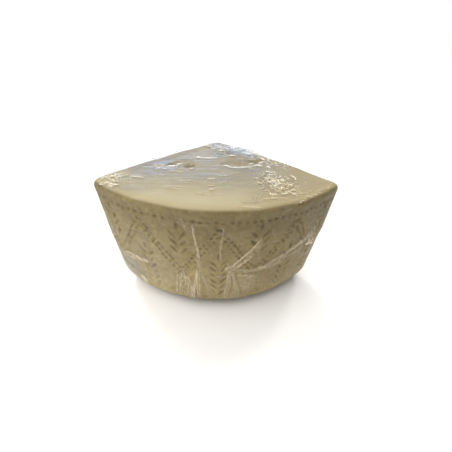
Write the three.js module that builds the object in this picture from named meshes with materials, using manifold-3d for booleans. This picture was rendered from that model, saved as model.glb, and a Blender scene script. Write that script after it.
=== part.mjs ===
import * as THREE from 'three';
import { mergeVertices } from 'three/addons/utils/BufferGeometryUtils.js';
import Module from 'manifold-3d';

// A quarter of a half-height wheel of hard sheep's cheese, wrapped in tight clear film.
// Millimetres, +Z up. The curved rind faces -Y, and the two straight cuts meet at the back.

// Driving dimensions
const WHEEL_RADIUS = 165;
const HEIGHT = 145;
const HALF_ANGLE = THREE.MathUtils.degToRad(46.5);
const FOOT_RADIUS = 155.6;
const FOOT_ROUND = 29;
const TOP_ROUND = 6.5;
const CUT_ROUND = 4;
const CORNER_ROUND = 3.5;
const RIND_BULGE = 0.8;

// Unevenness of the hand-made surfaces
const CUT_BOW = 3.5;
const RIND_WAVE = 0.7;
const CUT_WAVE = 1.1;
const TOP_WAVE = 0.9;

// Steps of the faceted body
const ARC_STEPS = 20;
const CORNER_STEPS = 3;
const CUT_STEPS = 9;
const APEX_STEPS = 2;
const SIDE_STEPS = 7;
const FOOT_STEPS = 6;
const TOP_STEPS = 4;
const TOP_RING_SHARES = [0.3, 0.55, 0.78, 0.93];
const MIDDLE_Y = -95;

// Pressed marks on the rind: places are arc length from the front middle and height above the foot
const MARK_DEPTH = 1.3;
const MARK_OVERLAP = 0.7;
const DOT_WIDTH = 3;
const DOT_LENGTH = 3.9;
const DOT_SIDES = 5;
const ZIGZAG_PERIOD = 76;
const ZIGZAG_LOW = 64;
const ZIGZAG_HIGH = 121;
const ZIGZAG_ROW_GAP = 8.5;
const ZIGZAG_PITCH = 5.7;
const BORDER_HEIGHT = 131;
const BORDER_DOTS = 38;
const LEAF_LENGTH = 12;
const LEAF_WIDTH = 3.4;
const LEAF_SIDES = 6;
const LEAF_TILT = THREE.MathUtils.degToRad(38);
const LEAF_PITCH = 9.5;
const LEAF_OFFSET = 5.2;
const TIP_LEAF_LENGTH = 9.6;
const MARK_EDGE_MARGIN = 7;
const TALL_SPRIG = { bottom: 33, leafPairs: 6 };
const SHORT_SPRIG = { bottom: 96, leafPairs: 3 };
const FLOWER = { petals: 6, radius: 6.5, height: 45 };

// Broken-out places on the top face: middle, size across, along and deep, and turn in degrees
const TOP_CHIPS = [
  { x: -47, y: -78, width: 18, length: 10, depth: 3.6, turn: 10 },
  { x: -42, y: -71, width: 11, length: 8, depth: 2.4, turn: 0 },
  { x: -31, y: -80, width: 18, length: 14, depth: 4, turn: -30 },
  { x: -40, y: -92, width: 9, length: 6, depth: 1.8, turn: 0 },
  { x: -38, y: -73, width: 30, length: 14, depth: 1.5, turn: 0 },
  { x: 9, y: -75, width: 14, length: 8, depth: 1.6, turn: -20 },
  { x: 23, y: -72, width: 32, length: 17, depth: 2, turn: -8 },
  { x: 40, y: -63, width: 24, length: 18, depth: 2.6, turn: -20 },
  { x: 26, y: -153, width: 24, length: 3, depth: 1.6, turn: 4 },
];
const CHIP_ROUGHNESS = 0.35;

// Film gathered in a knot low on the rind, with pleats running out of it
const KNOT = { arc: 12, height: 74 };
const KNOT_SIZE = 7;
const PLEAT_WIDTH = 3;
const PLEAT_RISE = 1.1;
const PLEAT_SINK = 0.2;
const PLEAT_END_FULLNESS = 0.25;
const PLEAT_STEPS = 4;
const KNOT_FAN = { pleats: 6, top: KNOT, spread: 0, foot: { from: 5, to: 29, height: 19 } };
const LEFT_FAN = {
  pleats: 6,
  top: { arc: -28, height: 64 },
  spread: 16,
  foot: { from: -48, to: -19, height: 22 },
};
const LONG_PLEATS = [
  [[-22.6, 134], [-19.5, 84], [-30.6, 22]],
  [[4, 128], [1, 93], [12, 74]],
  [[12, 74], [26, 90], [42, 110]],
  [[12, 74], [66, 69.5], [110, 81]],
];

const smooth = (low, high, value) => THREE.MathUtils.smoothstep(value, low, high);

// Gentle waves over two surface coordinates, between -1 and 1.
function waves(a, b) {
  const broad = Math.sin(a / 23 + 0.7) * Math.cos(b / 31 - 0.4);
  const middle = Math.sin(a / 11 - b / 17 + 1.9);
  const short = Math.cos(a / 7.3 + b / 9.1 + 0.3);
  return 0.5 * broad + 0.3 * middle + 0.2 * short;
}

// The rind's radius at a height: a quarter round at the foot, then nearly straight up to the top edge.
function rindRadius(z) {
  const topStart = HEIGHT - TOP_ROUND;
  if (z < FOOT_ROUND) {
    const below = FOOT_ROUND - z;
    return FOOT_RADIUS - FOOT_ROUND + Math.sqrt(FOOT_ROUND ** 2 - below ** 2);
  }
  const rise = Math.min((z - FOOT_ROUND) / (topStart - FOOT_ROUND), 1);
  const above = Math.max(z - topStart, 0);
  const topInset = TOP_ROUND - Math.sqrt(TOP_ROUND ** 2 - above ** 2);
  const straight = THREE.MathUtils.lerp(FOOT_RADIUS, WHEEL_RADIUS, rise);
  return straight + RIND_BULGE * Math.sin(Math.PI * rise) - topInset;
}

// How far the cut faces' softened edges step in at a height.
function cutInset(z) {
  const fromEnd = Math.min(z, HEIGHT - z, CUT_ROUND);
  return CUT_ROUND - Math.sqrt(CUT_ROUND ** 2 - (CUT_ROUND - fromEnd) ** 2);
}

// The rind moves in and out a little, but not where it meets the foot.
function rindWave(arc, z) {
  return RIND_WAVE * waves(arc * 1.3, z * 1.2) * smooth(0, FOOT_ROUND, z);
}

// A point of the plan outline, on a circle round (x, y), with its outward direction at an angle from -Y.
function outlinePoint(x, y, radius, angle, rindness) {
  const normal = new THREE.Vector2(Math.sin(angle), -Math.cos(angle));
  return { place: normal.clone().multiplyScalar(radius).add({ x, y }), normal, angle, rindness };
}

// The plan outline at a height, counterclockwise from the front middle: a sector with rounded corners.
function sectorOutline(z) {
  const radius = rindRadius(z);
  const inset = cutInset(z);
  const cutNormal = HALF_ANGLE + Math.PI / 2;
  const cornerAside = CORNER_ROUND + inset;
  const cornerAlong = Math.sqrt((radius - CORNER_ROUND) ** 2 - cornerAside ** 2);
  const cornerX = cornerAlong * Math.sin(HALF_ANGLE) - cornerAside * Math.cos(HALF_ANGLE);
  const cornerY = -cornerAlong * Math.cos(HALF_ANGLE) - cornerAside * Math.sin(HALF_ANGLE);
  const cornerAngle = Math.atan2(cornerX, -cornerY);
  const apexY = -(CUT_ROUND + inset) / Math.sin(HALF_ANGLE);
  const half = [];
  for (let i = 0; i <= ARC_STEPS; i++) {
    half.push(outlinePoint(0, 0, radius, (cornerAngle * i) / ARC_STEPS, 1));
  }
  for (let i = 1; i <= CORNER_STEPS; i++) {
    const share = i / CORNER_STEPS;
    const angle = THREE.MathUtils.lerp(cornerAngle, cutNormal, share);
    half.push(outlinePoint(cornerX, cornerY, CORNER_ROUND, angle, 1 - share));
  }
  const cutStart = half.at(-1).place;
  const cutEnd = outlinePoint(0, apexY, CUT_ROUND, cutNormal, 0).place;
  for (let i = 1; i < CUT_STEPS; i++) {
    const point = outlinePoint(0, 0, 0, cutNormal, 0);
    point.place.lerpVectors(cutStart, cutEnd, i / CUT_STEPS);
    half.push(point);
  }
  for (let i = 0; i <= APEX_STEPS; i++) {
    const angle = THREE.MathUtils.lerp(cutNormal, Math.PI, i / APEX_STEPS);
    half.push(outlinePoint(0, apexY, CUT_ROUND, angle, 0));
  }
  const mirrored = half.slice(1, -1).reverse().map(({ place, normal, angle, rindness }) => ({
    place: new THREE.Vector2(-place.x, place.y),
    normal: new THREE.Vector2(-normal.x, normal.y),
    angle: -angle,
    rindness,
  }));
  return [...half, ...mirrored];
}

// Heights of the body's levels, from the top face down to the foot.
function levelHeights() {
  const heights = [];
  for (let i = 0; i <= TOP_STEPS; i++) {
    const turn = (Math.PI / 2) * (i / TOP_STEPS);
    heights.push(HEIGHT - TOP_ROUND * (1 - Math.cos(turn)));
  }
  for (let i = 1; i < SIDE_STEPS; i++) {
    heights.push(THREE.MathUtils.lerp(HEIGHT - TOP_ROUND, FOOT_ROUND, i / SIDE_STEPS));
  }
  for (let i = FOOT_STEPS; i >= 0; i--) {
    const turn = (Math.PI / 2) * (i / FOOT_STEPS);
    heights.push(FOOT_ROUND * (1 - Math.cos(turn)));
  }
  return heights;
}

// The plan outline at a height with its unevenness, as 3-D points. The cuts bow out towards their middle.
function levelPoints(z) {
  const lift = smooth(HEIGHT - TOP_ROUND, HEIGHT, z);
  return sectorOutline(z).map(({ place, normal, angle, rindness }) => {
    const away = place.length();
    const bow = CUT_BOW * Math.sin(Math.PI * Math.min(away / WHEEL_RADIUS, 1));
    const cutRise = bow + CUT_WAVE * waves(away + 40 * Math.sign(place.x), z) * smooth(0, CUT_ROUND, z);
    const rise = THREE.MathUtils.lerp(cutRise, rindWave(angle * WHEEL_RADIUS, z), rindness);
    const moved = place.clone().addScaledVector(normal, rise);
    return new THREE.Vector3(moved.x, moved.y, z + lift * topWave(moved.x, moved.y));
  });
}

// The top face's unevenness, kept at or under the full height.
function topWave(x, y) {
  return -TOP_WAVE * (0.5 + 0.5 * waves(x * 0.8, y * 0.9));
}

// The wedge without its relief: a sphere whose rows become the levels and whose columns follow the outline.
function wedgeGeometry() {
  const middle = new THREE.Vector3(0, MIDDLE_Y, 0);
  const levels = levelHeights().map(levelPoints);
  const topRim = levels[0];
  const columns = topRim.length;
  const innerRings = [0, ...TOP_RING_SHARES].map((share) => topRim.map((rim) => {
    const x = THREE.MathUtils.lerp(middle.x, rim.x, share);
    const y = THREE.MathUtils.lerp(middle.y, rim.y, share);
    return new THREE.Vector3(x, y, HEIGHT + topWave(x, y));
  }));
  const rows = [...innerRings, ...levels, levels.at(-1).map(() => middle.clone())];
  const geometry = new THREE.SphereGeometry(1, columns, rows.length - 1);
  const position = geometry.attributes.position;
  rows.forEach((row, rowIndex) => {
    for (let column = 0; column <= columns; column++) {
      const point = row[column % columns];
      position.setXYZ(rowIndex * (columns + 1) + column, point.x, point.y, point.z);
    }
  });
  return geometry;
}

// A place on the rind, lifted off it, with the three directions there: along the arc, up and out.
function rindFrame(arc, z, lift = 0) {
  const angle = arc / WHEEL_RADIUS;
  const radius = rindRadius(z) + rindWave(arc, z) + lift;
  const slope = (rindRadius(z + 1) - rindRadius(z - 1)) / 2;
  const along = new THREE.Vector3(Math.cos(angle), Math.sin(angle), 0);
  const level = new THREE.Vector3(Math.sin(angle), -Math.cos(angle), 0);
  const up = level.clone().multiplyScalar(slope).add({ x: 0, y: 0, z: 1 }).normalize();
  const out = along.clone().cross(up);
  const place = level.multiplyScalar(radius).add({ x: 0, y: 0, z });
  return { place, along, up, out };
}

// A pit with its point inside the rind, longer along its own direction than across it.
function markGeometry({ arc, z, length, width, turn, sides }) {
  const height = MARK_DEPTH + MARK_OVERLAP;
  const widen = height / MARK_DEPTH;
  const cone = new THREE.ConeGeometry(0.5, height, sides);
  cone.rotateX(-Math.PI / 2);
  cone.scale(width * widen, length * widen, 1);
  cone.rotateZ(turn);
  const { place, along, up, out } = rindFrame(arc, z, MARK_OVERLAP - height / 2);
  cone.applyMatrix4(new THREE.Matrix4().makeBasis(along, up, out).setPosition(place));
  return cone;
}

function dotMark(arc, z, turn) {
  return { arc, z, turn, length: DOT_LENGTH, width: DOT_WIDTH, sides: DOT_SIDES };
}

function leafMark(arc, z, turn, length = LEAF_LENGTH) {
  return { arc, z, turn, length, width: LEAF_WIDTH, sides: LEAF_SIDES };
}

// Two rows of dots that run up and down round the rind in a zigzag.
function zigzagMarks() {
  const marks = [];
  const arm = new THREE.Vector2(ZIGZAG_PERIOD / 2, ZIGZAG_HIGH - ZIGZAG_LOW);
  const perArm = Math.round(arm.length() / ZIGZAG_PITCH);
  const lastArm = Math.ceil((HALF_ANGLE * WHEEL_RADIUS) / arm.x);
  for (let armIndex = -lastArm; armIndex < lastArm; armIndex++) {
    const falling = Math.abs(armIndex) % 2 === 0;
    for (let i = 0; i < perArm; i++) {
      const share = (i + 0.5) / perArm;
      const arc = (armIndex + share) * arm.x;
      const centreZ = THREE.MathUtils.lerp(ZIGZAG_LOW, ZIGZAG_HIGH, falling ? 1 - share : share);
      const turn = Math.atan2(arm.x, arm.y) * (falling ? 1 : -1);
      for (const side of [-0.5, 0.5]) {
        marks.push(dotMark(arc, centreZ + side * ZIGZAG_ROW_GAP, turn));
      }
    }
  }
  return marks;
}

// A row of dots under the top edge, all round the rind.
function borderMarks() {
  const reach = HALF_ANGLE * WHEEL_RADIUS - MARK_EDGE_MARGIN;
  const marks = [];
  for (let i = 0; i < BORDER_DOTS; i++) {
    const arc = THREE.MathUtils.lerp(-reach, reach, (i + 0.5) / BORDER_DOTS);
    marks.push(dotMark(arc, BORDER_HEIGHT, Math.PI / 2));
  }
  return marks;
}

// An upright sprig: pairs of slanting leaves with one more at the tip.
function sprigMarks(arc, { bottom, leafPairs }) {
  const marks = [];
  for (let pair = 0; pair < leafPairs; pair++) {
    for (const side of [-1, 1]) {
      marks.push(leafMark(arc + side * LEAF_OFFSET, bottom + pair * LEAF_PITCH, -side * LEAF_TILT));
    }
  }
  marks.push(leafMark(arc, bottom + leafPairs * LEAF_PITCH, 0, TIP_LEAF_LENGTH));
  return marks;
}

// A ring of petals round one dot.
function flowerMarks(arc, { petals, radius, height }) {
  const marks = [dotMark(arc, height, 0)];
  for (let i = 0; i < petals; i++) {
    const angle = (2 * Math.PI * i) / petals;
    marks.push(dotMark(arc + radius * Math.sin(angle), height + radius * Math.cos(angle), -angle));
  }
  return marks;
}

// Tall sprigs stand under the zigzag's peaks. Short ones stand over its dips, with a flower under each dip.
function rindMarks() {
  const marks = [...zigzagMarks(), ...borderMarks()];
  const halfPeriod = ZIGZAG_PERIOD / 2;
  for (let i = -3; i <= 3; i++) {
    const underPeak = i % 2 === 0;
    marks.push(...sprigMarks(i * halfPeriod, underPeak ? TALL_SPRIG : SHORT_SPRIG));
    if (!underPeak) {
      marks.push(...flowerMarks(i * halfPeriod, FLOWER));
    }
  }
  const reach = HALF_ANGLE * WHEEL_RADIUS - MARK_EDGE_MARGIN;
  return marks.filter(({ arc }) => Math.abs(arc) < reach);
}

// A shallow hollow in the top face with a broken, uneven edge.
function chipGeometry({ x, y, width, length, depth, turn }) {
  const chip = new THREE.IcosahedronGeometry(1, 1);
  const position = chip.attributes.position;
  const corner = new THREE.Vector3();
  for (let i = 0; i < position.count; i++) {
    corner.fromBufferAttribute(position, i);
    const reach = 1 + CHIP_ROUGHNESS * waves(40 * corner.x + x, 40 * corner.y + y);
    position.setXYZ(i, corner.x * reach, corner.y * reach, corner.z);
  }
  chip.scale(width / 2, length / 2, depth);
  chip.rotateZ(THREE.MathUtils.degToRad(turn));
  chip.translate(x, y, HEIGHT + topWave(x, y));
  return chip;
}

// A pleat of film: a low ridge along a path over the rind, thinning towards both ends.
function pleatGeometry(stops) {
  const route = new THREE.CatmullRomCurve3(stops.map(([arc, z]) => new THREE.Vector3(arc, z, 0)));
  const pleat = new THREE.CylinderGeometry(1, 1, 1, 4, PLEAT_STEPS);
  const position = pleat.attributes.position;
  for (let i = 0; i < position.count; i++) {
    const share = position.getY(i) + 0.5;
    const middle = route.getPoint(share);
    const travel = route.getTangent(share);
    const { place, along, up, out } = rindFrame(middle.x, middle.y, -PLEAT_SINK);
    const aside = along.multiplyScalar(travel.y).addScaledVector(up, -travel.x);
    const fullness = THREE.MathUtils.lerp(PLEAT_END_FULLNESS, 1, Math.sin(Math.PI * share));
    place.addScaledVector(aside, (position.getX(i) * PLEAT_WIDTH * fullness) / 2);
    place.addScaledVector(out, position.getZ(i) * PLEAT_RISE * fullness);
    position.setXYZ(i, place.x, place.y, place.z);
  }
  return pleat;
}

// Pleats that hang from one place and spread towards the foot, bowing a little outwards on their way.
function fanRoutes({ pleats, top, spread, foot }) {
  const routes = [];
  for (let i = 0; i < pleats; i++) {
    const share = i / (pleats - 1);
    const topArc = top.arc + spread * (share - 0.5);
    const footArc = THREE.MathUtils.lerp(foot.from, foot.to, share);
    const bendArc = THREE.MathUtils.lerp(topArc, footArc, 0.6);
    const bendHeight = THREE.MathUtils.lerp(top.height, foot.height, 0.5);
    routes.push([[topArc, top.height], [bendArc, bendHeight], [footArc, foot.height]]);
  }
  return routes;
}

// The small gather that the pleats run out of.
function knotGeometry() {
  const knot = new THREE.IcosahedronGeometry(KNOT_SIZE / 2, 1);
  knot.scale(1, 1, 0.5);
  const { place, along, up, out } = rindFrame(KNOT.arc, KNOT.height);
  return knot.applyMatrix4(new THREE.Matrix4().makeBasis(along, up, out).setPosition(place));
}

const manifold = await Module();
manifold.setup();

// A closed three.js geometry as a solid that can be joined and cut.
function toSolid(geometry) {
  const bare = geometry.index ? geometry.clone() : geometry;
  bare.deleteAttribute('normal');
  bare.deleteAttribute('uv');
  const merged = mergeVertices(bare, 1e-4);
  return new manifold.Manifold(new manifold.Mesh({
    numProp: 3,
    vertProperties: new Float32Array(merged.attributes.position.array),
    triVerts: new Uint32Array(merged.index.array),
  }));
}

// A joined or cut solid back as a three.js geometry.
function toGeometry(solid) {
  const mesh = solid.getMesh();
  const geometry = new THREE.BufferGeometry();
  geometry.setAttribute('position', new THREE.BufferAttribute(mesh.vertProperties, 3));
  geometry.setIndex(new THREE.BufferAttribute(mesh.triVerts, 1));
  geometry.computeVertexNormals();
  return geometry;
}

// The one outer body of a solid: a hollow that a pleat seals over a mark is filled.
function outerBody(solid) {
  return solid.decompose().reduce((largest, body) => (body.volume() > largest.volume() ? body : largest));
}

// The wrapped wedge: marks and chips cut in, film pleats and their knot joined on.
function wrappedWedge() {
  let solid = toSolid(wedgeGeometry());
  for (const mark of rindMarks()) {
    solid = solid.subtract(toSolid(markGeometry(mark)));
  }
  for (const chip of TOP_CHIPS) {
    solid = solid.subtract(toSolid(chipGeometry(chip)));
  }
  for (const route of [...LONG_PLEATS, ...fanRoutes(KNOT_FAN), ...fanRoutes(LEFT_FAN)]) {
    solid = solid.add(toSolid(pleatGeometry(route)));
  }
  solid = solid.add(toSolid(knotGeometry()));
  return toGeometry(outerBody(solid));
}

const wrappedCheese = new THREE.MeshStandardMaterial({ color: 0xcdbf98, roughness: 0.35, metalness: 0 });

const wedge = new THREE.Mesh(wrappedWedge(), wrappedCheese);
wedge.name = 'wrapped_cheese_wedge';

// The origin is the middle of the wedge's box, on the surface that it stands on.
wedge.geometry.computeBoundingBox();
const boxMiddle = wedge.geometry.boundingBox.getCenter(new THREE.Vector3());
wedge.position.set(-boxMiddle.x, -boxMiddle.y, 0);

const model = new THREE.Group();
model.add(wedge);
model.updateMatrixWorld(true);

export default model;
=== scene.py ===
"""A wedge of hard sheep's cheese wrapped in clear film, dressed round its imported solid.

Sizes are millimetres in the wedge's own frame: the wheel's axis is at x = 0, y = 0, the rind faces -Y
and z = 0 is the foot. Blender gets metres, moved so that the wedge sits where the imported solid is.
Places on a face have two coordinates: on the rind arc length from the front middle and height, on the
top x and y, on a cut face distance from the wheel's axis, negative on the left, and height.
"""
from collections import namedtuple
from functools import reduce
from math import atan2, ceil, copysign, cos, hypot, pi, radians, sin, sqrt

import bpy
import numpy as np
from mathutils import Matrix, Vector, noise
from mathutils.bvhtree import BVHTree


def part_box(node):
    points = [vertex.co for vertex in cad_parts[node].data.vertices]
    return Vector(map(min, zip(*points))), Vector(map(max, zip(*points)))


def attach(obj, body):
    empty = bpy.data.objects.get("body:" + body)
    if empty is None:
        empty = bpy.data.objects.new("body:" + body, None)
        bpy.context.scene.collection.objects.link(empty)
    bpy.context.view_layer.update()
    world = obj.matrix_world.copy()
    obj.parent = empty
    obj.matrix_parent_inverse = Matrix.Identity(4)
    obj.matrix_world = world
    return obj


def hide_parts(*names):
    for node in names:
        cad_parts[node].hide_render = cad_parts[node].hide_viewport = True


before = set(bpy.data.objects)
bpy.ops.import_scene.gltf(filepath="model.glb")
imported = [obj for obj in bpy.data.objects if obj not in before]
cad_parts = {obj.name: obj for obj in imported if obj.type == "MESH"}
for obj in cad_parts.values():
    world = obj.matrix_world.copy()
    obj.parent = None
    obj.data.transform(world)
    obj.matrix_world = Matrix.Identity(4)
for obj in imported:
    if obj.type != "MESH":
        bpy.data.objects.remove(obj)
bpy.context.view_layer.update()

NODE = "wrapped_cheese_wedge"
MM = 0.001

# Form of the wedge, as in the solid
WHEEL_RADIUS = 165
HEIGHT = 145
HALF_ANGLE = radians(46.5)
FOOT_RADIUS = 155.6
FOOT_ROUND = 29
TOP_ROUND = 6.5
CUT_ROUND = 4
CORNER_ROUND = 3.5
RIND_BULGE = 0.8
RIND_WAVE = 0.7
CUT_BOW = 3.5
CUT_WAVE = 1.1
TOP_WAVE = 0.9
MIDDLE_Y = -95

# Fineness of the two meshes: columns of half the outline (rind, corner, cut, back edge) and rows
CHEESE_COLUMNS = (160, 6, 88, 3)
FILM_COLUMNS = (230, 6, 40, 3)
ROUGH_COLUMNS = (40, 3, 9, 2)
TOP_ROWS = 46
EDGE_ROWS = 10
SIDE_ROWS = 92
FOOT_ROWS = 16
UNDER_ROWS = 5
TOP_FIRST_RING = 0.03
TOP_RING_POWER = 0.85
UNDER_LAST_RING = 0.1

# Pressed marks
MARK_DEPTH = 1.3
MARK_RIM = 0.45
MARK_JITTER = 0.5
DOT_WIDTH = 3
DOT_LENGTH = 3.9
ZIGZAG_ARM = 38
ZIGZAG_LOW = 64
ZIGZAG_HIGH = 121
ZIGZAG_ROW_GAP = 8.5
ZIGZAG_PITCH = 5.7
BORDER_HEIGHT = 131
BORDER_DOTS = 38
LEAF_LENGTH = 12
LEAF_WIDTH = 3.4
LEAF_TILT = radians(38)
LEAF_PITCH = 9.5
LEAF_OFFSET = 5.2
TIP_LEAF_LENGTH = 9.6
MARK_EDGE_MARGIN = 7
SPRIGS_EACH_SIDE = 3
TALL_SPRIG = (33, 6)
SHORT_SPRIG = (96, 3)
FLOWER_PETALS = 6
FLOWER_RADIUS = 6.5
FLOWER_HEIGHT = 45

# Grain of the cheese: stretch, size, octaves and seed of each kind
GRAIN = {
    "rough": (1, 9, 4, 0),
    "knobbly": (1, 4.6, 3, 21),
    "fine": (1, 2.6, 2, 7),
    "wire": ((0.06, 1, 1), 2.2, 2, 3),
}
# How far each kind of grain lifts each face, how it changes the rind's tone, with painted shade in the
# pits and painted light on the knobs and mark rims, and how it changes the chips' rims
RIND_GRAIN = {"rough": 0.4, "knobbly": 0.4, "fine": 0.2, "pits": -0.4}
CUT_GRAIN = {"rough": 0.5, "pits": -0.5}
TOP_GRAIN = {"wire": 0.1, "pits": -0.15}
GRAIN_TONE_AND_SHADE = {"knobbly": 0.35, "rough": 0.2, "rims": 0.25, "pits": -0.3}
CHIP_GRAIN = {"rough": 0.6, "knobbly": 0.7}

# Painted shade and painted light over the cheese: darker under the rind's top edge and towards its
# right, lighter low on its right, and darker towards the back and the right of the top. Each row has an
# amount, then fields that fade it in from a first to a second value
RIND_PAINTED_SHADE = (
    (0.34, ("arc", -60, -10)),
    (0.47, ("arc", -10, 80)),
    (0.4, ("z", 104, 128)),
    (-0.14, ("z", 126, 138)),
    (-0.45, ("arc", 25, 75), ("z", 56, 20)),
    (-0.14, ("arc", 0, 50), ("z", 124, 136)),
    (0.2, ("arc", -70, -110), ("z", 118, 138)),
    (0.5, ("arc", -66, -46), ("arc", 20, 0), ("z", 42, 22)),
)
TOP_INWARD_PAINTED_SHADE = ((0.76, ("away", 153, 115)), (0.24, ("away", 100, 55)))
TOP_RIGHT_PAINTED_SHADE = ((0.76, ("x", 2, 44)), (0.16, ("x", 56, 90)))

# A pleat is a bundle of film strands along a route, which lists its points' u and v in turn. It has the
# strands' width, rise and white, their number, and their spread at both ends. White makes the film
# milky, and its highest values paint it near white as a glint.
Pleat = namedtuple("Pleat", "route width rise white strands near far", defaults=(1, 0, 0))

# Spots are soft-edged ovals: u and v of the middle, width, length, turn in degrees and strength

# Broken-out places on the top face, with their depth
TOP_CHIPS = (
    (-47, -78, 18, 10, 10, 3.6), (-42, -71, 11, 8, 0, 2.4), (-31, -80, 18, 14, -30, 4),
    (-40, -92, 9, 6, 0, 1.8), (-38, -73, 30, 14, 0, 1.5), (9, -75, 14, 8, -20, 1.6),
    (23, -72, 32, 17, -8, 2), (40, -63, 24, 18, -20, 2.6), (26, -153, 24, 3, 4, 1.6),
)

# Film: its gap to the cheese, its waves and slack, and the knot where it is gathered
FILM_GAP = 0.4
FILM_WAVE = 0.25
CUT_SLACK = 2.2
KNOT = (12, 74)

# Pleats, each row with the values of Pleat; rows with white of 1 or more are painted glints
RIND_PLEATS = (
    ((-23, 132, -22, 110, -19.5, 86, -21.5, 66), 0.45, 0.5, 0.3, 3, 1, 4),
    ((-21, 74, -24, 51, -33, 13), 0.6, 0.5, 0.75, 3, 1, 4),
    ((-21, 72, -21, 48, -22, 13), 0.6, 0.5, 0.65, 2, 1, 3),
    ((-19, 68, -12, 50, -4, 22), 0.5, 0.4, 0.3, 3, 1, 8), ((-13, 73, -2, 71, 8, 71), 0.4, 0.35, 0.2),
    ((-11, 62, -2, 60, 7, 60), 0.4, 0.35, 0.2, 2, 2, 3),
    ((-42, 62, -44, 45, -47, 20), 0.6, 0.6, 0.7, 2, 3, 5),
    ((-37, 67, -37, 54, -39, 34), 0.6, 0.6, 0.72, 2, 2, 5),
    ((-34, 61, -31, 44, -34, 17), 0.6, 0.6, 0.66, 3, 2, 6),
    ((-30, 46, -28, 32, -31.5, 12), 0.6, 0.6, 0.8, 2, 1, 3),
    ((-43, 42, -38, 28, -41, 12), 0.45, 0.5, 0.35, 3, 5, 13),
    ((-37, 134, -24, 117), 0.43, 0.35, 0.21, 2, 2, 3),
    ((3, 129, 0.6, 101, 1.4, 90, *KNOT), 0.5, 0.42, 0.3),
    ((*KNOT, 27, 92, 42, 112), 0.55, 0.5, 0.5, 2, 1, 3),
    ((17, 73, 25, 80, 34, 91), 0.55, 0.5, 0.5, 2, 1, 2),
    ((14, 73, 46, 69.5, 73, 81.5, 103, 91), 0.55, 0.5, 0.34, 3, 1, 5),
    ((16, 70, 47, 65, 74, 72, 104, 82), 0.5, 0.5, 0.22, 3, 2, 6),
    ((*KNOT, 11, 53, 8, 16), 0.6, 0.6, 0.44, 3, 1, 5), ((*KNOT, 18, 52, 26, 18), 0.6, 0.6, 0.4, 3, 1, 5),
    ((9, 46, 14, 52, 18, 60), 0.6, 0.5, 0.4), ((*KNOT, 14, 46, 16, 15), 0.4, 0.5, 0.2, 3, 4, 8),
    ((19, 62, 30, 58.5, 43, 54), 0.7, 0.4, 0.36, 3, 3, 5),
    ((44, 39, 65, 33, 90, 28), 0.6, 0.4, 0.22, 2, 2, 4),
    ((-116, 60, -96, 67, -74, 68), 0.4, 0.5, 0.2, 3, 3, 10),
    ((-132, 40, -104, 36, -84, 29), 0.4, 0.5, 0.2, 3, 6, 12),
    ((-66, 92, -64, 70, -68, 50), 0.5, 0.35, 0.15, 2, 2, 5),
    ((107, 79, 105, 85, 103, 91), 0.8, 0.9, 1.4), ((102, 81, 106, 80, 110, 79), 0.7, 0.8, 1.2),
    ((110, 78, 114, 77, 117, 76.5), 0.7, 0.8, 1.2), ((111, 80, 113, 83, 114.5, 86), 0.5, 0.7, 1),
    ((-115, 61, -102, 66, -89, 62), 0.5, 0.6, 1), ((-113, 57, -100, 62, -86, 60), 0.42, 0.5, 0.8),
    ((-108, 58, -96, 60), 0.4, 0.5, 0.9), ((-94, 67, -84, 63), 0.42, 0.5, 1, 2, 2, 3),
    ((-84, 68, -76, 65), 0.42, 0.5, 0.95, 2, 2, 3), ((-96, 33, -88, 28), 0.5, 0.6, 1.1, 3, 3, 5),
    ((7, 79, 19, 69), 0.7, 0.8, 0.5, 2, 1, 2), ((6, 70, 18, 78), 0.6, 0.7, 0.45, 2, 1, 2),
)

# Painted shadows on the cheese in the gaps between the strands where the film is gathered
RIND_GAP_SHADOWS = (
    ((-41, 66, -42, 45, -44.5, 18), 0.5, 0, 1.3), ((-35, 64, -34, 48, -37, 28), 0.5, 0, 1.5),
    ((-31, 52, -30, 36, -32, 16), 0.45, 0, 1.5), ((-26, 60, -25, 40, -27, 14), 0.5, 0, 1.2),
    ((-17, 60, -16, 40, -14, 15), 0.6, 0, 1), ((8, 66, 4, 48, 1, 20), 0.7, 0, 0.9),
    ((14, 62, 14.5, 42, 16, 16), 0.5, 0, 1.2), ((18, 60, 24, 42, 31, 18), 0.6, 0, 1),
    ((16, 68, 44, 61, 76, 70, 100, 78), 0.8, 0, 0.9),
)

# Where the film lies doubled: a route, the half widths at its ends and how white
RIND_BANDS = (
    ((-23, 132, -22, 110, -19.5, 86, -22, 60), 1.2, 3.5, 0.13),
    ((-21, 74, -26, 45, -31, 14), 2, 4, 0.14), ((-19, 68, -11, 48, -3, 18), 2, 7, 0.1),
    ((-37, 68, -38, 45, -40, 18), 5, 9, 0.05), ((*KNOT, 28, 90, 43, 110), 2.5, 4, 0.13),
    ((14, 72, 47, 66, 68, 74, 86, 86), 2, 2.2, 0.12), ((64, 73, 82, 84, 98, 91, 116, 98), 1.5, 7, 0.22),
    ((*KNOT, 11, 53, 8, 16), 2, 4, 0.11), ((*KNOT, 18, 52, 26, 18), 2, 4, 0.09),
    ((19, 62, 30, 58.5, 43, 54), 3, 3, 0.15),
)
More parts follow.
